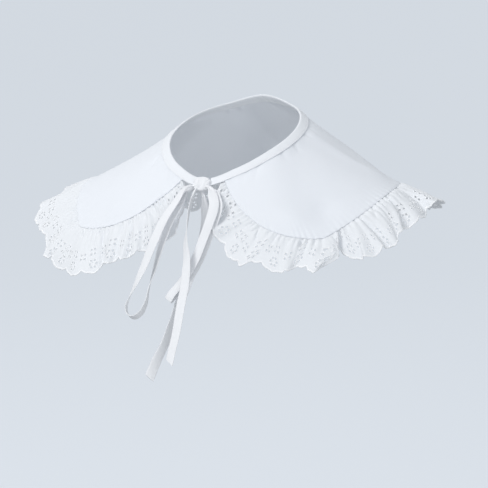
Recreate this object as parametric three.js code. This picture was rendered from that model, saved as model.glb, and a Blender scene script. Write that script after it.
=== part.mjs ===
import * as THREE from "three";
import { mergeVertices } from "three/addons/utils/BufferGeometryUtils.js";

// Detachable tie-neck collar with an eyelet ruffle, as it lies when worn.
// Millimetres, +Z up. The wearer faces -Y and the wearer's left is +X.
// The origin is on the neck's axis, level with the neckline at the centre front.

// Neckline
const neckHalfWidth = 64.7;
const neckHalfDepth = 68.5;
const backRise = 78;
const frontHalfGap = 19;

// Panel
const panelWidth = 118;
const panelWall = 1;
const cornerAngle = 41.5;
const cornerPower = 1.18;
const edgeHoldShare = 0.25;

// Ruffle
const ruffleWidth = 41;
const ruffleWall = 1;
const seamAllowance = 4;
const foldDepth = 6;
const foldSpread = 1.2;
const swaySpread = 1.5;
const puff = 0.6;
const riseLength = 10;
const backFoldCount = 20;
const backReach = 1.06;
const scallopCount = 54;
const scallopDepth = 4;
const eyeletSize = 2.2;

// Binding, knot and ties
const bindingWidth = 9;
const bindingWall = 1;
const bindingFold = 0.9;
const knotHalfWidth = 8.6;
const knotHalfHeight = 7.6;
const knotHalfDepth = 5.6;
const knotRoundness = 0.93;
const knotSquareness = 0.72;
const knotCreaseShare = 0.16;
const knotCreaseSpread = 0.25;
const ribbonWidth = 9.5;
const ribbonWall = 1;
const pinchShare = 0.36;
const pinchLength = 24;
const tieLean = 30;
const openLoopDrop = 144;
const flatLoopDrop = 123;
const frontTailDrop = 187;
const backTailDrop = 200;

// Every piece keeps this gap to its neighbours, and the ruffle a wider one to the panel over it
const clearance = 0.3;
const tuckGap = 0.7;
const exitGap = 0.85;

// How the cloth lies, by the angle from the centre front, the same on both sides.
// rise is a share of backRise and width a share of panelWidth.
// The slopes, in degrees below level, are at the neckline, the panel's edge and the ruffle's edge.
const drapeSections = [
  { angle: 0, rise: 0, width: 0.95, slopeIn: 46, slopeOut: 62, slopeHang: 70 },
  { angle: 30, rise: 0.15, width: 1.05, slopeIn: 45, slopeOut: 58, slopeHang: 66 },
  { angle: 60, rise: 0.37, width: 1, slopeIn: 39, slopeOut: 42, slopeHang: 50 },
  { angle: 90, rise: 0.58, width: 0.985, slopeIn: 34, slopeOut: 23, slopeHang: 32 },
  { angle: 120, rise: 0.77, width: 1, slopeIn: 34, slopeOut: 38, slopeHang: 48 },
  { angle: 150, rise: 0.9, width: 1.06, slopeIn: 37, slopeOut: 56, slopeHang: 64 },
  { angle: 180, rise: 1, width: 1.06, slopeIn: 42, slopeOut: 66, slopeHang: 74 },
];

// Soft dents and creases of the panel. angle goes round from the centre front over the wearer's left.
// reach is a share of the way to the panel's edge, and height, across and along are shares of panelWidth.
const panelDents = [
  { angle: 64, reach: 0.86, height: -0.022, across: 0.1, along: 0.2 },
  { angle: 52, reach: 0.84, height: 0.02, across: 0.1, along: 0.16 },
  { angle: 98, reach: 0.5, height: 0.018, across: 0.07, along: 0.4 },
  { angle: 150, reach: 0.62, height: -0.018, across: 0.14, along: 0.3 },
  { angle: 196, reach: 0.6, height: 0.02, across: 0.16, along: 0.3 },
  { angle: 262, reach: 0.5, height: -0.018, across: 0.07, along: 0.4 },
  { angle: 312, reach: 0.7, height: 0.018, across: 0.12, along: 0.24 },
];

// Ridges and valleys of the ruffle from the wearer's left front round the back, where they show.
// place is a share of the seam. height, as a share of foldDepth, and sway along the seam and reach, as
// shares of ruffleWidth, are those at the outer edge.
const leftFolds = [
  { place: 0, height: -0.1, sway: 0, reach: 0.12 },
  { place: 0.0216, height: -0.15, sway: 0, reach: 0.37 },
  { place: 0.0389, height: -0.3, sway: 0, reach: 0.64 },
  { place: 0.0562, height: 0.05, sway: -0.049, reach: 0.78 },
  { place: 0.0724, height: -0.5, sway: -0.171, reach: 0.84 },
  { place: 0.0854, height: 0.5, sway: 0.049, reach: 0.975 },
  { place: 0.1005, height: -0.083, sway: 0.073, reach: 0.91 },
  { place: 0.1156, height: -0.333, sway: 0.171, reach: 0.84 },
  { place: 0.1221, height: 0.917, sway: 0.049, reach: 0.9 },
  { place: 0.1373, height: 0.25, sway: 0, reach: 0.825 },
  { place: 0.1556, height: 1, sway: -0.122, reach: 0.81 },
  { place: 0.1686, height: -1, sway: -0.293, reach: 0.77 },
  { place: 0.1762, height: 1, sway: -0.39, reach: 0.93 },
  { place: 0.1827, height: 0.25, sway: -0.195, reach: 1.08 },
  { place: 0.187, height: 0.667, sway: -0.024, reach: 1.18 },
  { place: 0.1913, height: -0.667, sway: -0.024, reach: 1.09 },
  { place: 0.2032, height: 0.667, sway: -0.122, reach: 1.17 },
  { place: 0.2151, height: 0.083, sway: -0.268, reach: 1.12 },
  { place: 0.2226, height: 0.583, sway: -0.341, reach: 1.145 },
  { place: 0.228, height: -0.667, sway: -0.415, reach: 1.065 },
  { place: 0.2399, height: 0.667, sway: -0.366, reach: 1.06 },
  { place: 0.2529, height: -0.333, sway: -0.293, reach: 1.06 },
  { place: 0.2626, height: 1.5, sway: -0.463, reach: 1.06 },
  { place: 0.2832, height: 0.833, sway: -0.195, reach: 1.06 },
  { place: 0.3015, height: 1.5, sway: 0, reach: 1.06 },
  { place: 0.3188, height: 0, sway: 0, reach: 1.06 },
  { place: 0.334, height: 1.167, sway: 0, reach: 1.06 },
];
const rightFolds = [
  { place: 0.6693, height: 1.167, sway: 0, reach: 1.06 },
  { place: 0.6877, height: -0.167, sway: 0, reach: 1.06 },
  { place: 0.7071, height: 1.333, sway: 0, reach: 1.06 },
  { place: 0.7255, height: -0.167, sway: 0, reach: 1.06 },
  { place: 0.7428, height: 1.333, sway: -0.049, reach: 1.06 },
  { place: 0.7622, height: -0.167, sway: -0.146, reach: 1.06 },
  { place: 0.7795, height: 1.333, sway: -0.244, reach: 1.06 },
  { place: 0.7903, height: -0.667, sway: -0.195, reach: 1.2 },
  { place: 0.799, height: -0.333, sway: -0.098, reach: 1.2 },
  { place: 0.813, height: 0.667, sway: -0.049, reach: 1.2 },
  { place: 0.826, height: -0.5, sway: 0.024, reach: 1.2 },
  { place: 0.8368, height: -0.167, sway: 0, reach: 1.2 },
  { place: 0.8498, height: 0.667, sway: 0, reach: 1.145 },
  { place: 0.8649, height: 0.083, sway: 0, reach: 1.2 },
  { place: 0.88, height: 0.667, sway: 0.098, reach: 1.2 },
  { place: 0.8876, height: -0.417, sway: 0.024, reach: 1.015 },
  { place: 0.9006, height: 0.417, sway: -0.146, reach: 1.075 },
  { place: 0.9114, height: -0.333, sway: -0.268, reach: 0.955 },
  { place: 0.9189, height: 0.417, sway: -0.22, reach: 1.025 },
  { place: 0.9243, height: -0.583, sway: -0.195, reach: 0.96 },
  { place: 0.9297, height: 0.583, sway: -0.244, reach: 1.08 },
  { place: 0.9384, height: -0.583, sway: -0.22, reach: 0.915 },
  { place: 0.946, height: 0.417, sway: -0.195, reach: 0.98 },
  { place: 0.9524, height: -0.5, sway: -0.171, reach: 0.87 },
  { place: 0.9622, height: 0.333, sway: -0.049, reach: 0.98 },
  { place: 0.9719, height: -0.25, sway: 0, reach: 0.84 },
  { place: 0.9838, height: -0.4, sway: -0.03, reach: 0.5 },
  { place: 1, height: -0.5, sway: -0.05, reach: 0.1 },
];

// Where each ribbon leaves the knot, as a direction from the knot's centre, and how it is turned there
const knotExits = {
  openLoopFront: { side: -0.93, down: 0.25, out: 0.4, turn: 30 },
  openLoopBack: { side: -0.93, down: 0.25, out: -0.28, turn: 165 },
  flatLoopFront: { side: 0.85, down: 0.4, out: 0.4, turn: -40 },
  flatLoopBack: { side: 0.9, down: 0.35, out: -0.3, turn: -30 },
  frontTail: { side: -0.4, down: 0.85, out: 0.35, turn: 70 },
  backTail: { side: 0.1, down: 0.95, out: -0.4, turn: -20 },
};

// Ribbon paths. drop runs down the chest from the knot and side towards the wearer's left, both as
// shares of the ribbon's drop. proud stands off the chest, in ribbon widths. turn swings the flat
// face, in degrees, from facing forward to edge-on.
const openLoopRows = [
  { drop: 0.055, side: -0.092, proud: 0.7, turn: 26 },
  { drop: 0.185, side: -0.1, proud: 1.75, turn: 18 },
  { drop: 0.337, side: -0.144, proud: 2.1, turn: 8 },
  { drop: 0.485, side: -0.177, proud: 2, turn: 4 },
  { drop: 0.605, side: -0.209, proud: 1.7, turn: 10 },
  { drop: 0.736, side: -0.243, proud: 1.4, turn: 28 },
  { drop: 0.857, side: -0.287, proud: 1, turn: 55 },
  { drop: 0.933, side: -0.299, proud: 0.9, turn: 78 },
  { drop: 0.982, side: -0.276, proud: 0.85, turn: 88 },
  { drop: 1, side: -0.236, proud: 0.8, turn: 92 },
  { drop: 0.968, side: -0.19, proud: 0.78, turn: 95 },
  { drop: 0.895, side: -0.172, proud: 0.7, turn: 100 },
  { drop: 0.788, side: -0.18, proud: 0.6, turn: 112 },
  { drop: 0.678, side: -0.178, proud: 0.5, turn: 135 },
  { drop: 0.499, side: -0.147, proud: 1.2, turn: 160 },
  { drop: 0.318, side: -0.118, proud: 1.45, turn: 170 },
  { drop: 0.155, side: -0.089, proud: 1.05, turn: 165 },
  { drop: 0.055, side: -0.104, proud: 0.15, turn: 162 },
];
const flatLoopRows = [
  { drop: 0.065, side: 0.115, proud: 0.75, turn: -30 },
  { drop: 0.145, side: 0.172, proud: 1.3, turn: -20 },
  { drop: 0.243, side: 0.216, proud: 1.7, turn: -12 },
  { drop: 0.376, side: 0.205, proud: 1.6, turn: -6 },
  { drop: 0.508, side: 0.17, proud: 1.2, turn: 0 },
  { drop: 0.674, side: 0.127, proud: 0.8, turn: 4 },
  { drop: 0.845, side: 0.052, proud: 0.55, turn: 8 },
  { drop: 0.96, side: -0.015, proud: 0.5, turn: 8 },
  { drop: 1, side: -0.035, proud: 0.32, turn: 8 },
  { drop: 0.96, side: -0.015, proud: 0.14, turn: 8 },
  { drop: 0.845, side: 0.06, proud: 0.18, turn: 8 },
  { drop: 0.674, side: 0.14, proud: 0.35, turn: 4 },
  { drop: 0.508, side: 0.188, proud: 0.75, turn: 0 },
  { drop: 0.376, side: 0.226, proud: 1.15, turn: -6 },
  { drop: 0.243, side: 0.237, proud: 1.25, turn: -12 },
  { drop: 0.145, side: 0.189, proud: 0.85, turn: -20 },
  { drop: 0.07, side: 0.13, proud: 0.15, turn: -26 },
];
const frontTailRows = [
  { drop: 0.142, side: -0.008, proud: 1.1, turn: 76 },
  { drop: 0.257, side: 0.009, proud: 1.35, turn: 70 },
  { drop: 0.367, side: 0.03, proud: 1.5, turn: 45 },
  { drop: 0.473, side: 0.059, proud: 1.4, turn: 18 },
  { drop: 0.581, side: 0.075, proud: 1.3, turn: 8 },
  { drop: 0.689, side: 0.08, proud: 1.25, turn: 6 },
  { drop: 0.822, side: 0.088, proud: 1.2, turn: 10 },
  { drop: 1, side: 0.091, proud: 1.15, turn: 16 },
];
const backTailRows = [
  { drop: 0.158, side: 0.05, proud: -0.5, turn: -20 },
  { drop: 0.29, side: 0.064, proud: -0.5, turn: -30 },
  { drop: 0.418, side: 0.041, proud: -0.7, turn: -35 },
  { drop: 0.548, side: 0.021, proud: -0.75, turn: -50 },
  { drop: 0.693, side: 0.015, proud: -0.35, turn: -66 },
  { drop: 0.831, side: 0.008, proud: 0, turn: -66 },
  { drop: 0.917, side: -0.012, proud: 0.05, turn: -50 },
  { drop: 1, side: -0.025, proud: 0.1, turn: -35 },
];

// Mesh density
const panelColumns = 60;
const columnsPerScallop = 5;
const tieEndSteps = 3;
const seamSamples = 600;
const ribbonStep = 7.5;
const panelRowShares = [0, 0.09, 0.26, 0.45, 0.64, 0.83, 1];
const ruffleRowShares = [0, 0.3, 0.66, 1];
const columnCrowding = 1.6;
const eyeletRows = [0.6, 0.45];
const largestHoleShare = 0.38;

const radians = THREE.MathUtils.degToRad;
const degrees = THREE.MathUtils.radToDeg;
const clamp = THREE.MathUtils.clamp;
const frontAngle = degrees(Math.asin(frontHalfGap / neckHalfWidth));

// Smooth curve through one column of the drape sections, mirrored at the front and the back
function sectionValue(angle, column) {
  const mirrored = Math.abs(THREE.MathUtils.euclideanModulo(angle + 180, 360) - 180);
  const spacing = drapeSections[1].angle;
  const last = drapeSections.length - 1;
  const at = Math.min(Math.floor(mirrored / spacing), last - 1);
  const t = mirrored / spacing - at;
  const value = (row) => drapeSections[last - Math.abs(last - Math.abs(row))][column];
  const [p0, p1, p2, p3] = [value(at - 1), value(at), value(at + 1), value(at + 2)];
  const bend = 2 * p0 - 5 * p1 + 4 * p2 - p3;
  const twist = 3 * (p1 - p2) + p3 - p0;
  return p1 + 0.5 * t * (p2 - p0 + t * (bend + t * twist));
}

// How far out and down a line gets whose slope turns evenly over a length
function alongArc(slopeStart, slopeEnd, length, distance) {
  const turn = (slopeEnd - slopeStart) / length;
  if (Math.abs(turn) < 1e-6) {
    return [Math.cos(slopeStart) * distance, Math.sin(slopeStart) * distance];
  }
  const slope = slopeStart + turn * distance;
  return [
    (Math.sin(slope) - Math.sin(slopeStart)) / turn,
    (Math.cos(slopeStart) - Math.cos(slope)) / turn,
  ];
}

// Point of the cloth's resting surface at an angle round the neck and a reach from the neckline
function drapeSurface(angle, reach) {
  const width = panelWidth * sectionValue(angle, "width");
  const slopeIn = radians(sectionValue(angle, "slopeIn"));
  const slopeOut = radians(sectionValue(angle, "slopeOut"));
  const slopeHang = radians(sectionValue(angle, "slopeHang"));
  const beyond = Math.max(reach - width - ruffleWidth, 0);
  const [panelOut, panelDown] = alongArc(slopeIn, slopeOut, width, Math.min(reach, width));
  const ruffleReach = clamp(reach - width, 0, ruffleWidth);
  const [ruffleOut, ruffleDown] = alongArc(slopeOut, slopeHang, ruffleWidth, ruffleReach);
  const out = panelOut + ruffleOut + Math.cos(slopeHang) * beyond;
  const down = panelDown + ruffleDown + Math.sin(slopeHang) * beyond;
  const turn = radians(angle);
  return new THREE.Vector3(
    (neckHalfWidth + out) * Math.sin(turn),
    -(neckHalfDepth + out) * Math.cos(turn),
    backRise * sectionValue(angle, "rise") - down,
  );
}

function drapeNormal(angle, reach) {
  const step = 0.5;
  const outward = drapeSurface(angle, reach + step).sub(drapeSurface(angle, reach - step));
  const around = drapeSurface(angle + step, reach).sub(drapeSurface(angle - step, reach));
  return outward.cross(around).normalize();
}

function raisedSurface(angle, reach, height) {
  return drapeSurface(angle, reach).addScaledVector(drapeNormal(angle, reach), height);
}

// The panel's outer edge: full width at the sides and back, rounded off at the two front corners
function panelReach(angle) {
  const fromFront = Math.min(angle, 360 - angle);
  const turned = clamp((fromFront - frontAngle) / cornerAngle, 0, 1);
  const rounding = Math.pow(1 - Math.pow(1 - turned, cornerPower), 1 / cornerPower);
  const full = panelWidth * sectionValue(angle, "width");
  return Math.max(full * rounding, bindingWidth + clearance);
}

// Angle round the neck for a share from one front end to the other, closer together at the ends
function spreadAngle(share) {
  const half = 1 - Math.abs(2 * share - 1);
  const fromFront = frontAngle + (180 - frontAngle) * Math.pow(half, columnCrowding);
  return share <= 0.5 ? fromFront : 360 - fromFront;
}

// The cloth laid out flat, as polar coordinates round the neck, so that the ruffle's width can be
// set off square to the panel's edge. The layout is that of a cone with the cloth's mean slope.
const layoutSlope = 44;
const layoutSplit = -60;
const layoutShare = Math.cos(radians(layoutSlope));
const layoutRadius = neckHalfWidth / layoutShare;

function layFlat(angle, reach) {
  const turn = radians(angle) * layoutShare;
  const radius = layoutRadius + reach;
  return new THREE.Vector2(radius * Math.sin(turn), -radius * Math.cos(turn));
}

function fromFlat(point) {
  let turn = degrees(Math.atan2(point.x, -point.y));
  if (turn < layoutSplit) {
    turn += 360;
  }
  return { angle: turn / layoutShare, reach: point.length() - layoutRadius };
}

// The seam between panel and ruffle, with its length from the wearer's left front end
const seam = [];
for (let i = 0; i <= seamSamples; i += 1) {
  const angle = spreadAngle(i / seamSamples);
  const point = layFlat(angle, panelReach(angle));
  const length = i === 0 ? 0 : seam[i - 1].length + point.distanceTo(seam[i - 1].point);
  seam.push({ point, length });
}
const seamLength = seam[seamSamples].length;

function seamAt(share) {
  const length = clamp(share, 0, 1) * seamLength;
  let next = seam.findIndex((sample) => sample.length >= length);
  next = Math.max(next, 1);
  const before = seam[next - 1];
  const after = seam[next];
  const between = (length - before.length) / (after.length - before.length);
  const along = after.point.clone().sub(before.point).normalize();
  return {
    point: before.point.clone().lerp(after.point, between),
    outward: new THREE.Vector2(along.y, -along.x),
    fromEnd: Math.min(length, seamLength - length),
  };
}

// All the ruffle's ridges and valleys, with even ones at the back between those that show
const folds = [...leftFolds];
for (let k = 1; k < backFoldCount; k += 1) {
  const place = THREE.MathUtils.lerp(leftFolds.at(-1).place, rightFolds[0].place, k / backFoldCount);
  const height = (k % 2 === 0 ? 1.05 : -0.2) + 0.3 * Math.sin(2.4 * k);
  folds.push({ place, height, sway: 0.06 * Math.sin(1.7 * k), reach: backReach });
}
folds.push(...rightFolds);

// Height, sway and reach of the ruffle's outer edge at a place along the seam, in millimetres
function foldAt(place) {
  const next = clamp(folds.findIndex((fold) => fold.place >= place), 1, folds.length - 1);
  const [before, after] = [folds[next - 1], folds[next]];
  const part = clamp((place - before.place) / (after.place - before.place), 0, 1);
  const eased = THREE.MathUtils.smoothstep(part, 0, 1);
  return {
    height: foldDepth * THREE.MathUtils.lerp(before.height, after.height, eased),
    sway: ruffleWidth * THREE.MathUtils.lerp(before.sway, after.sway, eased),
    reach: ruffleWidth * THREE.MathUtils.lerp(before.reach, after.reach, part),
  };
}

// Fold a set of triangles into a closed body with its faces pointing out
function closedBody(positions, triangles) {
  const geometry = new THREE.BufferGeometry();
  geometry.setAttribute("position", new THREE.Float32BufferAttribute(positions, 3));
  const corner = (k) => new THREE.Vector3().fromArray(positions, 3 * k);
  let volume = 0;
  for (const [a, b, c] of triangles) {
    volume += corner(a).dot(corner(b).cross(corner(c))) / 6;
  }
  const facing = volume > 0 ? triangles : triangles.map(([a, b, c]) => [c, b, a]);
  geometry.setIndex(facing.flat());
  return geometry;
}

// A sheet of cloth with a real wall: a grid of middle points given two faces, a rim and pierced cells
function clothShell({ columns, rows, wall, middle, eyelet }) {
  const positions = [];
  const triangles = [];
  const grid = [];
  for (let i = 0; i <= columns; i += 1) {
    grid.push([]);
    for (let j = 0; j <= rows; j += 1) {
      grid[i].push(middle(i, j));
    }
  }
  const at = (i, j) => grid[clamp(i, 0, columns)][clamp(j, 0, rows)];
  const addPoint = (point) => positions.push(point.x, point.y, point.z) / 3 - 1;
  const addQuad = (a, b, c, d) => triangles.push([a, b, c], [a, c, d]);
  const faces = [1, -1].map((side) => grid.map((line, i) => line.map((point, j) => {
    const outward = at(i, j + 1).clone().sub(at(i, j - 1));
    const around = at(i + 1, j).clone().sub(at(i - 1, j));
    const normal = outward.cross(around).normalize();
    return addPoint(point.clone().addScaledVector(normal, (side * wall) / 2));
  })));
  const corner = (k) => new THREE.Vector3().fromArray(positions, 3 * k);
  const inCell = (ring, u, v) => {
    const low = corner(ring[0]).lerp(corner(ring[1]), u);
    return low.lerp(corner(ring[3]).lerp(corner(ring[2]), u), v);
  };
  for (let i = 0; i < columns; i += 1) {
    for (let j = 0; j < rows; j += 1) {
      const rings = faces.map((f) => [f[i][j], f[i + 1][j], f[i + 1][j + 1], f[i][j + 1]]);
      const hole = eyelet ? eyelet(i, j) : null;
      if (!hole) {
        addQuad(...rings[0]);
        addQuad(...[...rings[1]].reverse());
        continue;
      }
      const across = hole.size / 2 / corner(rings[0][0]).distanceTo(corner(rings[0][1]));
      const along = hole.size / 2 / corner(rings[0][0]).distanceTo(corner(rings[0][3]));
      const halfU = Math.min(across, largestHoleShare);
      const halfV = Math.min(along, largestHoleShare);
      const places = [[-1, -1], [1, -1], [1, 1], [-1, 1]];
      const inner = rings.map((ring) => places.map(([su, sv]) => (
        addPoint(inCell(ring, 0.5 + su * halfU, hole.row + sv * halfV)))));
      for (let k = 0; k < 4; k += 1) {
        const n = (k + 1) % 4;
        addQuad(rings[0][k], rings[0][n], inner[0][n], inner[0][k]);
        addQuad(inner[1][k], inner[1][n], rings[1][n], rings[1][k]);
        addQuad(inner[0][k], inner[0][n], inner[1][n], inner[1][k]);
      }
    }
  }
  const addRim = (i1, j1, i2, j2) => (
    addQuad(faces[0][i2][j2], faces[0][i1][j1], faces[1][i1][j1], faces[1][i2][j2]));
  for (let i = 0; i < columns; i += 1) {
    addRim(i, 0, i + 1, 0);
    addRim(i + 1, rows, i, rows);
  }
  for (let j = 0; j < rows; j += 1) {
    addRim(0, j + 1, 0, j);
    addRim(columns, j, columns, j + 1);
  }
  return closedBody(positions, triangles);
}

// A flat outline carried along a row of frames, with a cap at each end
function sweptOutline(outline, frames) {
  const positions = [];
  const triangles = [];
  for (const frame of frames) {
    for (const { x, y } of outline) {
      const point = frame.point.clone().addScaledVector(frame.x, x).addScaledVector(frame.y, y);
      positions.push(point.x, point.y, point.z);
    }
  }
  const count = outline.length;
  for (let i = 0; i < frames.length - 1; i += 1) {
    for (let k = 0; k < count; k += 1) {
      const near = i * count;
      const next = (k + 1) % count;
      triangles.push([near + k, near + next, near + count + next]);
      triangles.push([near + k, near + count + next, near + count + k]);
    }
  }
  const end = (frames.length - 1) * count;
  for (const [a, b, c] of THREE.ShapeUtils.triangulateShape(outline, [])) {
    const first = THREE.ShapeUtils.area([outline[a], outline[b], outline[c]]);
    const same = first * THREE.ShapeUtils.area(outline) > 0;
    const [p, q, r] = same ? [a, b, c] : [c, b, a];
    triangles.push([r, q, p], [end + p, end + q, end + r]);
  }
  return closedBody(positions, triangles);
}

function collarPanel() {
  const innerReach = bindingFold + clearance;
  const middle = (i, j) => {
    const angle = spreadAngle(i / panelColumns);
    const edge = panelReach(angle);
    const share = panelRowShares[j];
    const reach = innerReach + (edge - innerReach) * share;
    let height = 0;
    for (const dent of panelDents) {
      const offAngle = radians(angle - dent.angle) * (neckHalfWidth + reach * layoutShare);
      const offReach = reach - dent.reach * edge;
      const across = offAngle / (dent.across * panelWidth);
      const along = offReach / (dent.along * panelWidth);
      height += dent.height * panelWidth * Math.exp(-across * across - along * along);
    }
    const heldAtNeck = clamp((reach - bindingWidth) / bindingWidth, 0, 1);
    const heldAtEdge = clamp((1 - share) / edgeHoldShare, 0, 1);
    return raisedSurface(angle, reach, height * heldAtNeck * heldAtEdge);
  };
  const rows = panelRowShares.length - 1;
  return clothShell({ columns: panelColumns, rows, wall: panelWall, middle });
}

function eyeletRuffle() {
  const columns = scallopCount * columnsPerScallop;
  const rows = ruffleRowShares.length;
  const under = -(panelWall / 2 + tuckGap + ruffleWall / 2);
  const startShare = seamAllowance / 2 / seamLength;
  const middle = (i, j) => {
    const place = startShare + (1 - 2 * startShare) * (i / columns);
    const share = j === 0 ? 0 : ruffleRowShares[j - 1];
    const fold = foldAt(place);
    const sway = fold.sway * Math.pow(share, swaySpread);
    const { point, outward, fromEnd } = seamAt(place + sway / seamLength);
    const scallop = scallopDepth * (1 - Math.abs(Math.sin((Math.PI * i) / columnsPerScallop)));
    const tuck = clamp((fromEnd - seamAllowance) / seamAllowance, 0, seamAllowance);
    const off = j === 0 ? -tuck : (fold.reach - scallop) * share;
    const flat = fromFlat(point.clone().addScaledVector(outward, off));
    const base = THREE.MathUtils.lerp(under, puff, THREE.MathUtils.smoothstep(off, 0, riseLength));
    return raisedSurface(flat.angle, flat.reach, base + fold.height * Math.pow(share, foldSpread));
  };
  const eyelet = (i, j) => {
    const row = eyeletRows[j - (rows - eyeletRows.length)];
    const inMiddle = i % columnsPerScallop === Math.floor(columnsPerScallop / 2);
    return inMiddle && row ? { size: eyeletSize, row } : null;
  };
  return clothShell({ columns, rows, wall: ruffleWall, middle, eyelet });
}

function neckBinding() {
  const inside = panelWall / 2 + clearance;
  const outside = inside + bindingWall;
  const shoulder = 0.5 * bindingFold;
  const outline = [
    [bindingWidth, outside], [shoulder, outside], [-bindingFold, 0.5 * outside],
    [-bindingFold, -0.5 * outside], [shoulder, -outside], [bindingWidth, -outside],
    [bindingWidth, -inside], [bindingFold, -inside], [bindingFold, inside], [bindingWidth, inside],
  ].map(([x, y]) => new THREE.Vector2(x, y));
  const knotAngle = degrees(Math.asin((knotHalfWidth * knotRoundness + clearance) / neckHalfWidth));
  const angles = [];
  for (let i = 0; i <= panelColumns; i += 1) {
    angles.push(spreadAngle(i / panelColumns));
  }
  for (let i = 1; i <= tieEndSteps; i += 1) {
    const angle = THREE.MathUtils.lerp(frontAngle, knotAngle, i / tieEndSteps);
    angles.unshift(angle);
    angles.push(360 - angle);
  }
  const frames = angles.map((angle) => ({
    point: drapeSurface(angle, 0),
    x: drapeSurface(angle, bindingWidth).sub(drapeSurface(angle, 0)).normalize(),
    y: drapeNormal(angle, bindingWidth / 2),
  }));
  return sweptOutline(outline, frames);
}

// Directions of the hanging ties, which lie down the leaning chest
const knotCentre = new THREE.Vector3(0, -neckHalfDepth - knotHalfDepth, -0.5 * bindingWidth);
const chestSide = new THREE.Vector3(1, 0, 0);
const chestDown = new THREE.Vector3(0, -Math.sin(radians(tieLean)), -Math.cos(radians(tieLean)));
const chestOut = new THREE.Vector3(0, -Math.cos(radians(tieLean)), Math.sin(radians(tieLean)));

// Point of the knot's squarish surface, or a gap off it, in a direction from its centre
function knotPoint(direction, gap) {
  const { x, y, z } = direction;
  const square = (value) => Math.sign(value) * Math.pow(Math.abs(value), knotSquareness);
  const crease = 1 - knotCreaseShare * Math.exp(-Math.pow(x / knotCreaseSpread, 2));
  return knotCentre.clone()
    .addScaledVector(chestSide, (knotHalfWidth + gap) * square(x))
    .addScaledVector(chestDown, (knotHalfHeight + gap) * square(y))
    .addScaledVector(chestOut, (knotHalfDepth * crease + gap) * square(z));
}

function tieKnot() {
  const geometry = new THREE.SphereGeometry(1, 14, 10);
  geometry.deleteAttribute("normal");
  geometry.deleteAttribute("uv");
  const merged = mergeVertices(geometry, 1e-4);
  const position = merged.getAttribute("position");
  const positions = [];
  for (let i = 0; i < position.count; i += 1) {
    positions.push(...knotPoint(new THREE.Vector3().fromBufferAttribute(position, i), 0));
  }
  const triangles = [];
  for (let i = 0; i < merged.index.count; i += 3) {
    triangles.push([0, 1, 2].map((k) => merged.index.getX(i + k)));
  }
  return closedBody(positions, triangles);
}

// A flat ribbon on a smooth path from the knot through its rows, and back to the knot if it is a loop
function ribbon(pathRows, drop, start, end) {
  const points = pathRows.map((row) => (
    knotCentre.clone()
      .addScaledVector(chestDown, row.drop * drop)
      .addScaledVector(chestSide, row.side * drop)
      .addScaledVector(chestOut, row.proud * ribbonWidth)));
  const rows = [...pathRows];
  const exitPoint = (exit) => (
    knotPoint(new THREE.Vector3(exit.side, exit.down, exit.out).normalize(), exitGap));
  points.unshift(exitPoint(start));
  rows.unshift(start);
  if (end) {
    points.push(exitPoint(end));
    rows.push(end);
  }
  const path = new THREE.CatmullRomCurve3(points, false, "centripetal");
  const length = path.getLength();
  const steps = Math.ceil(length / ribbonStep);
  const frames = [];
  for (let i = 0; i <= steps; i += 1) {
    const t = path.getUtoTmapping(i / steps);
    const row = Math.min(Math.floor(t * (rows.length - 1)), rows.length - 2);
    const between = t * (rows.length - 1) - row;
    const turn = radians(THREE.MathUtils.lerp(rows[row].turn, rows[row + 1].turn, between));
    const along = path.getTangent(t);
    const across = chestOut.clone().cross(along).normalize();
    const front = along.clone().cross(across).normalize();
    const flat = across.clone().multiplyScalar(Math.cos(turn)).addScaledVector(front, Math.sin(turn));
    const face = flat.clone().cross(along).normalize();
    const fromKnot = end ? Math.min(i, steps - i) : i;
    const open = THREE.MathUtils.smoothstep((fromKnot * length) / steps, 0, pinchLength);
    flat.multiplyScalar(THREE.MathUtils.lerp(pinchShare, 1, open));
    frames.push({ point: path.getPoint(t), x: flat, y: face });
  }
  const outline = [[-1, -1], [1, -1], [1, 1], [-1, 1]].map(([x, y]) => (
    new THREE.Vector2((x * ribbonWidth) / 2, (y * ribbonWall) / 2)));
  return sweptOutline(outline, frames);
}

const openLoop = ribbon(openLoopRows, openLoopDrop, knotExits.openLoopFront, knotExits.openLoopBack);
const flatLoop = ribbon(flatLoopRows, flatLoopDrop, knotExits.flatLoopFront, knotExits.flatLoopBack);
const frontTail = ribbon(frontTailRows, frontTailDrop, knotExits.frontTail);
const backTail = ribbon(backTailRows, backTailDrop, knotExits.backTail);

const cottonColour = 0xf3f5fa;
const tieColour = 0xf6f7f9;

function cloth(name, colour) {
  return new THREE.MeshStandardMaterial({
    name, color: colour, roughness: 0.9, metalness: 0, side: THREE.DoubleSide,
  });
}

const group = new THREE.Group();

function addPiece(name, geometry, material) {
  const mesh = new THREE.Mesh(geometry, material);
  mesh.name = name;
  mesh.geometry.computeVertexNormals();
  group.add(mesh);
}

addPiece("collar_panel", collarPanel(), cloth("panel_cotton", cottonColour));
addPiece("eyelet_ruffle", eyeletRuffle(), cloth("eyelet_cotton", cottonColour));
addPiece("neck_binding", neckBinding(), cloth("binding_cotton", cottonColour));
addPiece("tie_knot", tieKnot(), cloth("knot_cotton", tieColour));
addPiece("bow_loop_open", openLoop, cloth("loop_cotton", tieColour));
addPiece("bow_loop_flat", flatLoop, cloth("loop_cotton", tieColour));
addPiece("tail_front", frontTail, cloth("tail_cotton", tieColour));
addPiece("tail_back", backTail, cloth("tail_cotton", tieColour));

export default group;
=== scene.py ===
"""Looks of a detachable cotton collar: smooth panel, gathered eyelet ruffle, binding, knot and ties.

Shapes are worked out in millimetres, +Z up, the wearer facing -Y, and scaled to metres in the meshes.
"""
import math

import bpy
import numpy as np
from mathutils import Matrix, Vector
from mathutils.geometry import delaunay_2d_cdt


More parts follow.
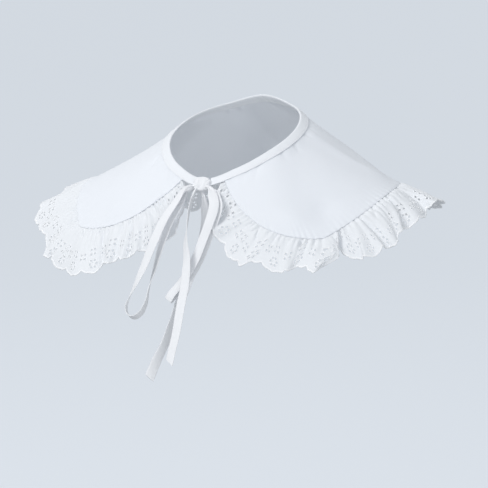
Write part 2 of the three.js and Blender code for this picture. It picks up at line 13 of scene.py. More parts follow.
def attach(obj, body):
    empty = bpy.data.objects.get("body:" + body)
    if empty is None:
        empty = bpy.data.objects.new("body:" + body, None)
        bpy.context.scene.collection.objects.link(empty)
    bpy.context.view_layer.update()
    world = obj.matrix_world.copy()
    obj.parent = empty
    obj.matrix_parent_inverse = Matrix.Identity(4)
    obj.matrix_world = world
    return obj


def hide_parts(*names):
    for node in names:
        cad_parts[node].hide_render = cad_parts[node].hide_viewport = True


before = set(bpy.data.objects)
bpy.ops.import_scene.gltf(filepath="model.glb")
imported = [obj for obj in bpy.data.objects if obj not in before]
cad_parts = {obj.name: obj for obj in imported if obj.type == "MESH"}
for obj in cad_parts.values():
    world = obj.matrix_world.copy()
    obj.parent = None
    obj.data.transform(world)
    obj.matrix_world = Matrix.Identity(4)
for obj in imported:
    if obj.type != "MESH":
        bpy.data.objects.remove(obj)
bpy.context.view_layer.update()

MM = 0.001
RNG = np.random.default_rng(7)

# Camera, fitted to the photograph: degrees and metres
CAMERA_AZIMUTH = 25
CAMERA_ELEVATION = 6.15
CAMERA_DISTANCE = 1.8
CAMERA_TARGET = (0.01128, -0.00289, -0.06854)
CAMERA_LENS = 132.8

# Neckline
NECK_HALF_WIDTH = 64.7
NECK_HALF_DEPTH = 68.5
BACK_RISE = 78
FRONT_HALF_GAP = 19

# Panel
PANEL_WIDTH = 118
PANEL_WALL = 0.8
CORNER_ANGLE = 41.5
CORNER_POWER = 1.18
EDGE_HOLD_SHARE = 0.25

# Ruffle
RUFFLE_WIDTH = 41
RUFFLE_WALL = 0.5
SEAM_ALLOWANCE = 4
GATHER_RATIO = 1.5
FOLD_DEPTH = 6
FOLD_SPREAD = 1.2
SWAY_SPREAD = 1.5
BACK_FOLDS = 20
BACK_REACH = 1.06
PUFF = 1
SCALLOP_COUNT = 54
SCALLOP_DEPTH = 4
LOBE_DEPTH = 0.8
TUCK_DEPTH = 1.45

# Binding, knot and ties
BINDING_WIDTH = 9
BINDING_WALL = 0.65
BINDING_FOLD = 0.9
BINDING_GAP = 0.12
CLEARANCE = 0.3
KNOT_HALF = (8.6, 7.6, 5.6)
KNOT_ROUNDNESS = 0.93
KNOT_SQUARENESS = 0.72
KNOT_CREASE_SHARE = 0.16
KNOT_CREASE_SPREAD = 0.25
EXIT_GAP = -0.6
RIBBON_WIDTH = 9.5
RIBBON_WALL = 1
PINCH_SHARE = 0.36
PINCH_LENGTH = 24
TIE_LEAN = 30

# How the cloth lies, every 30 degrees from the centre front to the centre back, the same on both sides.
# rise is a share of BACK_RISE, width of PANEL_WIDTH, and slopes are degrees below level.
DRAPE_STEP = 30
DRAPE = {
    "rise": (0, 0.15, 0.37, 0.58, 0.77, 0.9, 1),
    "width": (0.95, 1.05, 1, 0.985, 1, 1.06, 1.06),
    "slope_in": (46, 45, 39, 34, 34, 37, 42),
    "slope_out": (62, 58, 42, 23, 38, 56, 66),
    "slope_hang": (70, 66, 50, 32, 48, 64, 74),
}

# Dents of the panel: angle round the neck, reach as a share of the way to the edge, and height,
# size across and size along as shares of PANEL_WIDTH
PANEL_DENTS = (
    (64, 0.86, -0.022, 0.1, 0.2), (52, 0.84, 0.02, 0.1, 0.16), (98, 0.5, 0.018, 0.07, 0.4),
    (150, 0.62, -0.018, 0.14, 0.3), (196, 0.6, 0.02, 0.16, 0.3), (262, 0.5, -0.018, 0.07, 0.4),
    (312, 0.7, 0.018, 0.12, 0.24),
)

# The ruffle's ridges and valleys where they show, from the wearer's left front round the back: place
# along the seam, and at the outer edge height as a share of FOLD_DEPTH, and sway along the seam and
# reach as shares of RUFFLE_WIDTH
LEFT_FOLDS = (
    (0, 0.033, 0.003, 0.087), (0.0216, -0.002, -0.005, 0.453), (0.0389, -0.383, -0.123, 0.604),
    (0.0562, 0.692, -0.19, 0.774), (0.0724, -0.636, -0.236, 0.841), (0.0854, -0.221, 0.12, 1.051),
    (0.1005, 0.115, -0.057, 0.813), (0.1156, 0.289, 0.183, 0.91), (0.1221, 0.552, 0.111, 0.96),
    (0.1373, -0.375, -0.063, 0.683), (0.1545, 1.3, -0.152, 0.921), (0.1615, 0.328, -0.239, 0.795),
    (0.1686, -1.073, -0.302, 0.425), (0.1752, -0.446, -0.145, 1.053), (0.1805, 0.498, -0.233, 1.012),
    (0.184, 0.219, -0.131, 1.122), (0.187, 0.962, -0.046, 1.151), (0.1913, -0.503, -0.039, 1.068),
    (0.2032, 0.769, -0.201, 1.283), (0.2151, 0.217, -0.289, 1.017), (0.2226, 0.342, -0.381, 1.046),
    (0.228, -1.022, -0.324, 0.944), (0.2399, 0.2, -0.39, 1.12), (0.2529, -0.6, -0.25, 1.05),
    (0.2626, 1.6, -0.4, 1.03), (0.2832, 1.5, -0.195, 1.1), (0.3015, 1.4, 0, 1.2), (0.3188, 0.5, 0, 1.1),
    (0.334, 1.167, 0, 1.06),
)
RIGHT_FOLDS = (
    (0.6693, 1.6, 0, 1.06), (0.6877, 1.4, 0, 1.06), (0.7071, 3, 0, 1.06), (0.7255, 0.8, 0, 1.06),
    (0.7428, 1.5, -0.049, 1.06), (0.7622, 0.004, -0.099, 1.185), (0.7795, 1.342, -0.019, 1.216),
    (0.7903, 0.683, -0.039, 1.324), (0.799, 0.262, -0.043, 1.313), (0.813, 0.401, -0.034, 1.108),
    (0.826, -0.289, 0.064, 1.099), (0.8368, 0.185, 0.082, 1.24), (0.8498, -0.533, -0.049, 1.103),
    (0.8649, 0.626, 0.038, 1.259), (0.88, 0.12, 0.1, 1.131), (0.8876, -0.599, 0.028, 1.005),
    (0.9006, 0.56, -0.102, 1.026), (0.9114, -0.314, -0.222, 1.001), (0.9189, 0.398, -0.227, 1.095),
    (0.9243, -0.469, -0.218, 0.982), (0.9297, 0.257, -0.193, 1.095), (0.9384, -0.532, -0.246, 1.004),
    (0.946, 0.247, -0.183, 1.133), (0.9524, -0.449, -0.11, 1.005), (0.9622, -0.201, -0.005, 1.161),
    (0.9719, -0.185, -0.032, 0.803), (0.9838, -0.472, -0.034, 0.698), (1, -0.49, -0.099, 0.148),
)

# Sharp creases of the ruffle: place along the seam, then length, depth and breadth as shares of
# RUFFLE_WIDTH, and slant
RUFFLE_CREASES = (
    (0.0724, 0.4, 0.03, 0.037, -0.2), (0.0822, 0.55, 0.036, 0.037, 0.35), (0.1092, 0.22, 0.022, 0.032, 0.1),
    (0.119, 0.85, 0.04, 0.034, 0), (0.1295, 0.28, 0.036, 0.05, 0.3), (0.1345, 0.24, 0.03, 0.045, -0.35),
    (0.151, 0.6, 0.03, 0.037, 0.1), (0.1688, 0.8, 0.06, 0.045, 0), (0.1913, 0.95, 0.045, 0.037, 0),
    (0.228, 0.95, 0.045, 0.04, 0), (0.2545, 0.9, 0.04, 0.04, 0), (0.7905, 0.85, 0.045, 0.045, 0),
    (0.8285, 0.5, 0.036, 0.05, 0), (0.885, 0.85, 0.05, 0.03, 0), (0.9114, 0.5, 0.032, 0.045, 0),
    (0.9243, 0.9, 0.04, 0.037, 0), (0.9384, 0.8, 0.04, 0.04, 0), (0.9455, 0.35, 0.03, 0.035, 0.3),
    (0.9524, 0.65, 0.04, 0.04, -0.1),
)

# The ribbons: piece, CAD node, drop, slant of the cut, where it leaves the knot (side, down, out and
# turn in degrees) and its path (drop and side as shares of the ribbon's drop, proud in ribbon widths,
# turn in degrees)
RIBBONS = (
    ("open_loop_cloth", "bow_loop_open", 144, 0, ((-0.93, 0.25, 0.4, 30), (-0.93, 0.25, -0.28, 165)), (
        (0.055, -0.092, 0.7, 26), (0.185, -0.1, 1.75, 18), (0.337, -0.144, 2.1, 8), (0.485, -0.177, 2, 4),
        (0.605, -0.209, 1.7, 10), (0.736, -0.243, 1.4, 28), (0.857, -0.287, 1, 55), (0.933, -0.299, 0.9, 78),
        (0.982, -0.276, 0.85, 88), (1, -0.236, 0.8, 92), (0.968, -0.19, 0.78, 95), (0.895, -0.172, 0.7, 100),
        (0.788, -0.18, 0.6, 112), (0.678, -0.178, 0.5, 135), (0.499, -0.147, 1.2, 160),
        (0.318, -0.118, 1.45, 170), (0.155, -0.089, 1.05, 165), (0.055, -0.104, 0.15, 162),
    )),
    ("flat_loop_cloth", "bow_loop_flat", 123, 0, ((0.85, 0.4, 0.4, -40), (0.9, 0.35, -0.3, -30)), (
        (0.065, 0.115, 0.75, -30), (0.145, 0.172, 1.3, -20), (0.243, 0.216, 1.7, -12),
        (0.376, 0.205, 1.6, -6), (0.508, 0.17, 1.2, 0), (0.674, 0.127, 0.8, 4), (0.845, 0.052, 0.55, 8),
        (0.96, -0.015, 0.5, 8), (1, -0.035, 0.32, 8), (0.96, -0.015, 0.14, 8), (0.845, 0.06, 0.18, 8),
        (0.674, 0.14, 0.35, 4), (0.508, 0.188, 0.75, 0), (0.376, 0.226, 1.15, -6),
        (0.243, 0.237, 1.25, -12), (0.145, 0.189, 0.85, -20), (0.07, 0.13, 0.15, -26),
    )),
    ("front_tail_cloth", "tail_front", 187, 3.5, ((-0.4, 0.85, 0.35, 70),), (
        (0.142, -0.008, 1.1, 76), (0.257, 0.009, 1.35, 70), (0.367, 0.03, 1.5, 45), (0.473, 0.059, 1.4, 18),
        (0.581, 0.075, 1.3, 8), (0.689, 0.08, 1.25, 6), (0.822, 0.088, 1.2, 10), (1, 0.091, 1.15, 16),
    )),
    ("back_tail_cloth", "tail_back", 200, 1.5, ((0.1, 0.95, -0.4, -20),), (
        (0.158, 0.05, -0.5, -20), (0.29, 0.064, -0.5, -30), (0.418, 0.041, -0.7, -35),
        (0.548, 0.021, -0.75, -50), (0.693, 0.015, -0.35, -66), (0.831, 0.008, 0, -66),
        (0.917, -0.012, 0.05, -50), (1, -0.025, 0.1, -35),
    )),
)


def unit(vectors):
    return vectors / np.maximum(np.linalg.norm(vectors, axis=-1, keepdims=True), 1e-9)


def smooth(low, high, value):
    t = np.clip((value - low) / (high - low), 0, 1)
    return t * t * (3 - 2 * t)


def lengths_along(points):
    """Length from the first of a row of points to each of them."""
    return np.concatenate([[0], np.cumsum(np.linalg.norm(np.diff(points, axis=0), axis=1))])


def interpolated(x, known, points):
    return np.stack([np.interp(x, known, column) for column in points.T], -1)


def pairs(first, second):
    return np.stack([first, second], -1)


def turns(count):
    return 2 * np.pi * np.arange(count) / count


# Base shape: the cloth's resting surface over neck, shoulders and chest

def section(angle, column):
    """Smooth curve through one column of DRAPE, mirrored at the front and the back."""
    values = np.array(DRAPE[column], float)
    last = len(values) - 1
    mirrored = np.abs((angle + 180) % 360 - 180)
    at = np.minimum((mirrored // DRAPE_STEP).astype(int), last - 1)
    t = mirrored / DRAPE_STEP - at
    p0, p1, p2, p3 = (values[last - np.abs(last - np.abs(at + k))] for k in (-1, 0, 1, 2))
    bend = 2 * p0 - 5 * p1 + 4 * p2 - p3
    twist = 3 * (p1 - p2) + p3 - p0
    return p1 + 0.5 * t * (p2 - p0 + t * (bend + t * twist))


def along_arc(slope_start, slope_end, length, distance):
    """How far out and down a line gets whose slope turns evenly over a length."""
    turn = (slope_end - slope_start) / length
    turn = np.where(np.abs(turn) < 1e-6, 1e-6, turn)
    slope = slope_start + turn * distance
    out = (np.sin(slope) - np.sin(slope_start)) / turn
    down = (np.cos(slope_start) - np.cos(slope)) / turn
    return out, down


def drape(angle, reach):
    """Point of the resting surface at an angle round the neck and a reach from the neckline."""
    width = PANEL_WIDTH * section(angle, "width")
    slopes = [np.radians(section(angle, name)) for name in ("slope_in", "slope_out", "slope_hang")]
    beyond = np.maximum(reach - width - RUFFLE_WIDTH, 0)
    panel_out, panel_down = along_arc(slopes[0], slopes[1], width, np.minimum(reach, width))
    ruffle_reach = np.clip(reach - width, 0, RUFFLE_WIDTH)
    ruffle_out, ruffle_down = along_arc(slopes[1], slopes[2], RUFFLE_WIDTH, ruffle_reach)
    out = panel_out + ruffle_out + np.cos(slopes[2]) * beyond
    down = panel_down + ruffle_down + np.sin(slopes[2]) * beyond
    turn = np.radians(angle)
    return np.stack([
        (NECK_HALF_WIDTH + out) * np.sin(turn),
        -(NECK_HALF_DEPTH + out) * np.cos(turn),
        BACK_RISE * section(angle, "rise") - down,
    ], axis=-1)


def drape_normal(angle, reach):
    outward = drape(angle, reach + 0.5) - drape(angle, reach - 0.5)
    around = drape(angle + 0.5, reach) - drape(angle - 0.5, reach)
    return unit(np.cross(outward, around))


def raised(angle, reach, height):
    return drape(angle, reach) + drape_normal(angle, reach) * height[..., None]


FRONT_ANGLE = math.degrees(math.asin(FRONT_HALF_GAP / NECK_HALF_WIDTH))


def panel_reach(angle):
    """The panel's outer edge: full width at the sides and back, rounded off at the front corners."""
    from_front = np.minimum(angle, 360 - angle)
    turned = np.clip((from_front - FRONT_ANGLE) / CORNER_ANGLE, 0, 1)
    rounding = (1 - (1 - turned) ** CORNER_POWER) ** (1 / CORNER_POWER)
    full = PANEL_WIDTH * section(angle, "width")
    return np.maximum(full * rounding, BINDING_WIDTH + CLEARANCE)


# The cloth laid out flat, as polar coordinates round the neck on a cone with the cloth's mean slope
LAYOUT_SLOPE = 44
LAYOUT_SPLIT = -60
LAYOUT_SHARE = math.cos(math.radians(LAYOUT_SLOPE))
LAYOUT_RADIUS = NECK_HALF_WIDTH / LAYOUT_SHARE


def lay_flat(angle, reach):
    turn = np.radians(angle) * LAYOUT_SHARE
    radius = LAYOUT_RADIUS + reach
    return pairs(radius * np.sin(turn), -radius * np.cos(turn))


def from_flat(point):
    turn = np.degrees(np.arctan2(point[..., 0], -point[..., 1]))
    turn = np.where(turn < LAYOUT_SPLIT, turn + 360, turn)
    return turn / LAYOUT_SHARE, np.linalg.norm(point, axis=-1) - LAYOUT_RADIUS


# The seam between panel and ruffle, from the wearer's left front end round the back
SEAM_SAMPLES = 1600
COLUMN_CROWDING = 1.6


def spread_angle(share):
    half = 1 - np.abs(2 * share - 1)
    from_front = FRONT_ANGLE + (180 - FRONT_ANGLE) * half ** COLUMN_CROWDING
    return np.where(share <= 0.5, from_front, 360 - from_front)


SEAM_ANGLES = spread_angle(np.linspace(0, 1, SEAM_SAMPLES + 1))
SEAM_POINTS = lay_flat(SEAM_ANGLES, panel_reach(SEAM_ANGLES))
SEAM_LENGTHS = lengths_along(SEAM_POINTS)
SEAM_LENGTH = SEAM_LENGTHS[-1]
SEAM_ALONG = unit(np.gradient(SEAM_POINTS, SEAM_LENGTHS, axis=0))


def seam_at(share):
    """Point on the flat seam and the direction square to it, at a share of its length."""
    length = np.clip(share, 0, 1) * SEAM_LENGTH
    along = unit(interpolated(length, SEAM_LENGTHS, SEAM_ALONG))
    return interpolated(length, SEAM_LENGTHS, SEAM_POINTS), pairs(along[..., 1], -along[..., 0])


class Noise:
    """Smooth random wave with a knot at each whole number, the same on each run."""

    def __init__(self, count):
        self.values = RNG.uniform(-1, 1, count)

    def __call__(self, x):
        whole = np.floor(x).astype(int)
        part = smooth(0, 1, x - whole)
        count = len(self.values)
        return self.values[whole % count] * (1 - part) + self.values[(whole + 1) % count] * part


# Meshes

def make_object(name, points, faces, material, uv=None, sharp_angle=55):
    """A named mesh object from points in millimetres, with smooth faces and sharp rims."""
    mesh = bpy.data.meshes.new(name)
    mesh.from_pydata((points * MM).tolist(), [], [list(map(int, face)) for face in faces])
    mesh.validate()
    if uv is not None:
        layer = mesh.uv_layers.new(name="flat_cloth")
        corners = np.empty(len(mesh.loops), int)
        mesh.loops.foreach_get("vertex_index", corners)
        layer.data.foreach_set("uv", (uv[corners] * MM).ravel())
    mesh.shade_smooth()
    mesh.set_sharp_from_angle(angle=math.radians(sharp_angle))
    mesh.materials.append(material)
    piece = bpy.data.objects.new(name, mesh)
    bpy.context.scene.collection.objects.link(piece)
    return piece


def grid_faces(columns, rows, closed_rows=False, closed_columns=False):
    """Quads of a grid whose points run row by row along each column."""
    spans = np.arange(columns - (not closed_columns)), np.arange(rows - (not closed_rows))
    i, j = np.meshgrid(*spans, indexing="ij")
    here, after, up = i * rows, (i + 1) % columns * rows, (j + 1) % rows
    return np.stack([here + j, after + j, after + up, here + up], -1).reshape(-1, 4)


def shell(middle, normal, half, faces):
    """Both faces and the rims of a cloth from its middle points, normals, half walls and faces."""
    count = len(middle)
    points = np.concatenate([middle + normal * half[:, None], middle - normal * half[:, None]])
    heads = faces.ravel()
    tails = np.roll(faces, -1, axis=1).ravel()
    codes = heads * count + tails
    open_edge = ~np.isin(tails * count + heads, codes)
    a, b = heads[open_edge], tails[open_edge]
    rims = np.stack([b, a, a + count, b + count], -1)
    below = faces[:, ::-1] + count
    return points, [*faces.tolist(), *below.tolist(), *rims.tolist()]


def tube(outlines):
    """A body through a row of closed outlines, each an array of points."""
    columns, rows = outlines.shape[:2]
    faces = grid_faces(columns, rows, closed_rows=True).tolist()
    faces.append(list(range(rows)))
    faces.append([(columns - 1) * rows + k for k in reversed(range(rows))])
    return outlines.reshape(-1, 3), faces


def joined(bodies):
    """Several (points, faces) bodies as one."""
    points, faces, first = [], [], 0
    for body_points, body_faces in bodies:
        points.append(body_points)
        faces += [[first + k for k in face] for face in body_faces]
        first += len(body_points)
    return np.concatenate(points), faces


# Materials

def wire(tree, node, inputs):
    """Sets a node's inputs: constants, or links from the outputs of other nodes."""
    for name, value in inputs.items():
        if isinstance(value, bpy.types.NodeSocket):
            tree.links.new(value, node.inputs[name])
        else:
            node.inputs[name].default_value = value
    return node


def add_node(tree, kind, inputs, operation=None):
    node = tree.nodes.new("ShaderNode" + kind)
    if operation:
        node.operation = operation
    return wire(tree, node, inputs)


def noise(tree, scale, detail):
    """Output of a noise texture in the piece's own coordinates."""
    place = add_node(tree, "TexCoord", {}).outputs["Object"]
    return add_node(tree, "TexNoise", {"Vector": place, "Scale": scale, "Detail": detail}).outputs["Fac"]


def ranged(tree, value, low, high):
    return add_node(tree, "MapRange", {"Value": value, "To Min": low, "To Max": high}).outputs["Result"]


def bumped(tree, height, strength, distance):
    inputs = {"Height": height, "Strength": strength, "Distance": distance * MM}
    return add_node(tree, "Bump", inputs).outputs["Normal"]


def mixed(tree, factor, first, second):
    """Output of a mix of two colours."""
    node = tree.nodes.new("ShaderNodeMix")
    node.data_type = "RGBA"
    return wire(tree, node, {"Factor": factor, "A": (*first, 1), "B": (*second, 1)}).outputs["Result"]


def new_material(name):
    """A material, its node tree and its shader."""
    material = bpy.data.materials.new(name)
    material.use_nodes = True
    return material, material.node_tree, material.node_tree.nodes["Principled BSDF"]


def cotton(name, colour, thread=0.42, weave=0.35):
    """Plain-woven cotton: thread bump in the cloth's flat coordinates, slubs and a soft sheen."""
    material, tree, shader = new_material(name)
    flat = tree.nodes.new("ShaderNodeUVMap")
    flat.uv_map = "flat_cloth"
    threads = []
    for direction in ("X", "Y"):
        wave = add_node(tree, "TexWave", {
            "Vector": flat.outputs["UV"],
            "Scale": math.pi / (10 * thread * MM),
            "Distortion": 0.6,
            "Detail": 1,
        })
        wave.bands_direction = direction
        wave.wave_profile = "SIN"
        threads.append(wave.outputs["Fac"])
    woven = add_node(tree, "Math", {0: threads[0], 1: threads[1]}, "MULTIPLY").outputs["Value"]
    slubs = noise(tree, 160, 4)
    height = add_node(tree, "Math", {0: slubs, 1: 0.25, 2: woven}, "MULTIPLY_ADD").outputs["Value"]
    tint = ranged(tree, woven, 0.955, 1)
    shade = add_node(tree, "VectorMath", {0: colour, "Scale": tint}, "SCALE").outputs["Vector"]
    wire(tree, shader, {
        "Base Color": shade,
        "Roughness": ranged(tree, slubs, 0.82, 0.94),
        "Normal": bumped(tree, height, weave, 0.12),
        "Sheen Weight": 0.2,
        "Sheen Roughness": 0.45,
        "Specular IOR Level": 0.25,
    })
    return material


def thread_material(name, colour):
    """Embroidery and sewing thread: fine ridges and a slight silkiness."""
    material, tree, shader = new_material(name)
    ridges = noise(tree, 900, 3)
    wire(tree, shader, {
        "Base Color": mixed(tree, ridges, [0.93 * c for c in colour], colour),
        "Roughness": ranged(tree, ridges, 0.5, 0.7),
        "Normal": bumped(tree, ridges, 0.4, 0.15),
        "Sheen Weight": 0.3,
        "Sheen Roughness": 0.35,
        "Specular IOR Level": 0.4,
    })
    return material


PANEL_COTTON = cotton("panel_cotton", (0.86, 0.885, 0.93))
EYELET_COTTON = cotton("eyelet_cotton", (0.85, 0.87, 0.9), thread=0.36, weave=0.3)
BINDING_COTTON = cotton("binding_cotton", (0.88, 0.9, 0.935))
TIE_COTTON = cotton("tie_cotton", (0.89, 0.9, 0.925))
THREAD = thread_material("white_thread", (0.92, 0.93, 0.95))


# Camera

def add_aimed(name, data, azimuth, elevation, distance):
    """Camera or light at a distance from the camera's target, looking at it."""
    azimuth, elevation = math.radians(azimuth), math.radians(elevation)
    away = Vector((
        math.sin(azimuth) * math.cos(elevation),
        -math.cos(azimuth) * math.cos(elevation),
        math.sin(elevation),
    ))
    aimed = bpy.data.objects.new(name, data)
    aimed.location = Vector(CAMERA_TARGET) + distance * away
    aimed.rotation_euler = away.to_track_quat("Z", "Y").to_euler()
    bpy.context.scene.collection.objects.link(aimed)
    return aimed


def add_camera():
    data = bpy.data.cameras.new("camera")
    data.lens = CAMERA_LENS
    data.clip_end = 40
    bpy.context.scene.camera = add_aimed("camera", data, CAMERA_AZIMUTH, CAMERA_ELEVATION, CAMERA_DISTANCE)


add_camera()


# Panel: one smooth piece with soft dents, fine puckers along the seams and a rolled edge

PANEL_COLUMNS = 780
PANEL_ROWS = 42
PUCKER_COUNT = 178
PUCKER_DEPTH = 0.5
PUCKER_LENGTH = 8
NECK_CREASE_COUNT = 26
# Broad waves of the panel: height, length and slant
PANEL_WAVES = ((0.8, 31, 0.4), (0.65, 23, -0.3))

pucker_phase = Noise(61)
pucker_strength = Noise(83)
panel_waves = [Noise(37), Noise(41)]


def pucker(place):
    """Fine gathers of varied strength, shared by the panel's edge and the ruffle's seam."""
    phase = 2 * np.pi * PUCKER_COUNT * place + 3.2 * pucker_phase(place * 60)
    return np.sin(phase) * np.clip(0.58 + 0.6 * pucker_strength(place * 52), 0.08, 1.1)


def crease_table(count, length, depth, width, slant):
    """Random creases, evenly spread: place, length, depth, width and slant in columns."""
    place = (np.arange(count) + RNG.uniform(0.1, 0.9, count)) / count
    return np.stack([
        place,
        RNG.uniform(*length, count),
        depth[0] + (depth[1] - depth[0]) * RNG.uniform(0, 1, count) ** 2,
        RNG.uniform(*width, count),
        RNG.uniform(-slant, slant, count),
    ], axis=1)


def crease_height(table, place, offset, span):
    """Height of a row of creases at a place along a span and an offset from where they start."""
    height = np.zeros_like(offset)
    for at, length, depth, width, slant in table:
        off = (place - at) * span - slant * offset
        near = np.abs(off) < 4 * width
        ease = smooth(-1, 3, offset[near]) * (1 - smooth(0.3, 1, offset[near] / length))
        height[near] -= depth * ease * np.exp(-(off[near] / width) ** 2)
    return height


neck_creases = crease_table(NECK_CREASE_COUNT, (10, 34), (0.25, 0.9), (1.6, 3.2), 0.5)


def panel_height(angle, reach, edge, place):
    height = np.zeros_like(reach)
    for dent_angle, dent_reach, lift, across, along in PANEL_DENTS:
        off_angle = np.radians(angle - dent_angle) * (NECK_HALF_WIDTH + reach * LAYOUT_SHARE)
        off_reach = reach - dent_reach * edge
        size = (off_angle / (across * PANEL_WIDTH)) ** 2 + (off_reach / (along * PANEL_WIDTH)) ** 2
        height += lift * PANEL_WIDTH * np.exp(-size)
    flat = lay_flat(angle, reach)
    for axis, (rise, length, slant) in enumerate(PANEL_WAVES):
        height += rise * panel_waves[axis](flat[..., axis] / length + slant * flat[..., 1 - axis] / length)
    height *= np.clip((reach - BINDING_WIDTH) / BINDING_WIDTH, 0, 1)
    height *= np.clip((1 - reach / edge) / EDGE_HOLD_SHARE, 0, 1)
    height += PUCKER_DEPTH * pucker(place) * np.exp((reach - edge) / PUCKER_LENGTH)
    neck_length = 2 * np.pi * NECK_HALF_WIDTH
    return height + crease_height(neck_creases, angle / 360, reach - BINDING_WIDTH + 1, neck_length)


def collar_panel():
    place = np.linspace(0, 1, PANEL_COLUMNS)
    angle = np.interp(place * SEAM_LENGTH, SEAM_LENGTHS, SEAM_ANGLES)
    even = np.linspace(0, 1, PANEL_ROWS)
    rows = 0.5 * even + 0.5 * (0.5 - 0.5 * np.cos(np.pi * even))
    edge = panel_reach(angle)
    inner = BINDING_FOLD + CLEARANCE
    reach = inner + (edge - inner)[:, None] * rows
    angles, edges, places = (np.repeat(column[:, None], PANEL_ROWS, 1) for column in (angle, edge, place))
    middle = raised(angles, reach, panel_height(angles, reach, edges, places))
    normal = unit(np.cross(np.gradient(middle, axis=1), np.gradient(middle, axis=0)))
    to_rim = np.minimum(edges - reach, np.minimum(places, 1 - places) * SEAM_LENGTH)
    rolled = np.clip(1 - to_rim / (PANEL_WALL / 2), 0, 0.93)
    half = PANEL_WALL / 2 * np.sqrt(1 - rolled ** 2) + 0.12 * np.exp(-((to_rim - 1.6) / 1.1) ** 2)
    faces = grid_faces(PANEL_COLUMNS, PANEL_ROWS)[:, ::-1]
    points, faces = shell(middle.reshape(-1, 3), normal.reshape(-1, 3), half.ravel(), faces)
    flat = lay_flat(angles, reach).reshape(-1, 2)
    piece = make_object("panel_cloth", points, faces, PANEL_COTTON, np.tile(flat, (2, 1)))
    return piece


# Ruffle: a gathered strip of eyelet cloth, made as one flat repeat that is copied along the strip

STRIP_LENGTH = SEAM_LENGTH * GATHER_RATIO
PITCH = STRIP_LENGTH / SCALLOP_COUNT
RUFFLE_START = SEAM_ALLOWANCE / 2 / SEAM_LENGTH
PLAIN_WIDTH = 14
EDGE_SEGMENTS = 24
PLAIN_ROWS = 24
SPARE_WIDTH = 18
CELL = 1.75
EYELET_RADIUS = 1.28
STITCH_RADIUS = 1.84
EYELET_SIDES = 9
EDGE_SAMPLES = 1200

# The holes: a ring in each scallop, and squares behind it and between two scallops
RING_RADIUS = 3.7
RING_SETBACK = 9.6
SQUARE_HALF = 2.35
BEHIND_SETBACK = 21.5
BETWEEN_SETBACK = 18.6

# Fine gathers at the seam, and soft waves of the cloth beyond them
GATHER_DEPTH = 0.95
GATHER_REACH = 7.5
WAVE_HEIGHT = 1.15
SEAM_WAVE_HEIGHT = 0.55
SEAM_WAVE_REACH = 22
WAVE_SHIFT = 1.4
CREASE_COUNT = 150
CREASE_SCALE = np.array([1, RUFFLE_WIDTH, RUFFLE_WIDTH, RUFFLE_WIDTH, 1])
seam_creases = crease_table(CREASE_COUNT, (4, 24), (0.3, 1.9), (0.9, 2), 0.5)
wobbles = [Noise(29), Noise(53), Noise(97)]


def fold_table():
    """Rows of place, height, sway and reach: those that show, and even ones between them at the back."""
    first, last = LEFT_FOLDS[-1][0], RIGHT_FOLDS[0][0]
    back = []
    for k in range(1, BACK_FOLDS):
        crest = k % 2 == 0
        height = (1.05 if crest else -0.2) + 0.3 * math.sin(2.4 * k)
        back.append((first + (last - first) * k / BACK_FOLDS, height, 0.06 * math.sin(1.7 * k), BACK_REACH))
    return np.array([*LEFT_FOLDS, *back, *RIGHT_FOLDS])


FOLDS = fold_table()


def fold_at(place):
    """Height, sway and reach of the ruffle's outer edge at a place along the seam."""
    at = np.interp(place, FOLDS[:, 0], np.arange(len(FOLDS)))
    row = np.minimum(at.astype(int), len(FOLDS) - 2)
    part = smooth(0, 1, at - row)[:, None]
    height, sway, _ = (FOLDS[row, 1:] * (1 - part) + FOLDS[row + 1, 1:] * part).T
    reach = np.interp(place, FOLDS[:, 0], FOLDS[:, 3])
    return FOLD_DEPTH * height, RUFFLE_WIDTH * sway, RUFFLE_WIDTH * reach


def fold_shape(place, share, offset):
    """Height of the ruffle's folds over its resting surface, and their shift along the seam."""
    height, sway, _ = fold_at(place)
    height = height * share ** FOLD_SPREAD
    shift = sway * share ** SWAY_SPREAD
    middle = share * (2 - share)
    height += WAVE_HEIGHT * middle * wobbles[0](place * 86 + 1.3 * share)
    near_seam = SEAM_WAVE_HEIGHT * smooth(0, 5, offset) * np.exp(-(offset / SEAM_WAVE_REACH) ** 2)
    height += near_seam * wobbles[2](place * 104 + 0.5 * share)
    shift += WAVE_SHIFT * share * wobbles[1](place * 52 + 0.8 * share)
    gather = smooth(-2, 3, offset) * np.exp(-(np.maximum(offset, 0) / GATHER_REACH) ** 1.5)
    height += (0.3 + GATHER_DEPTH * gather) * pucker(place) * (1 - smooth(0.3, 0.9, share))
    height += crease_height(seam_creases, place, offset, SEAM_LENGTH)
    height += crease_height(RUFFLE_CREASES * CREASE_SCALE, place, offset, SEAM_LENGTH)
    height += PUFF * smooth(0, 6, offset) * (1 - 0.6 * share)
    return height - TUCK_DEPTH * (1 - smooth(-1.5, 1.2, offset)), shift


def edge_runs():
    """Lengths along the flat strip and their places, with the cloth spread evenly along the outer edge."""
    place = np.linspace(RUFFLE_START, 1 - RUFFLE_START, EDGE_SAMPLES)
    height, sway, reach = fold_at(place)
    point, outward = seam_at(place + sway / SEAM_LENGTH)
    edge = raised(*from_flat(point + outward * reach[:, None]), height)
    run = lengths_along(edge)
    return STRIP_LENGTH * run / run[-1], place


STRIP_RUNS, STRIP_PLACES = edge_runs()


def strip_place(u):
    """Place along the seam of a length along the flat strip."""
    return np.interp(u, STRIP_RUNS, STRIP_PLACES)


def ruffle_full(u):
    """Width of the ruffle beyond the seam at a length along the flat strip."""
    return fold_at(strip_place(u))[2]


def ruffle_middle(u, offset):
    """Middle of the ruffle's cloth at a length along the flat strip and an offset from the seam."""
    place = strip_place(u)
    share = np.clip(offset / ruffle_full(u), 0, 1)
    height, shift = fold_shape(place, share, offset)
    point, outward = seam_at(place + shift / SEAM_LENGTH)
    angle, reach = from_flat(point + outward * offset[:, None])
    return raised(angle, reach, height)


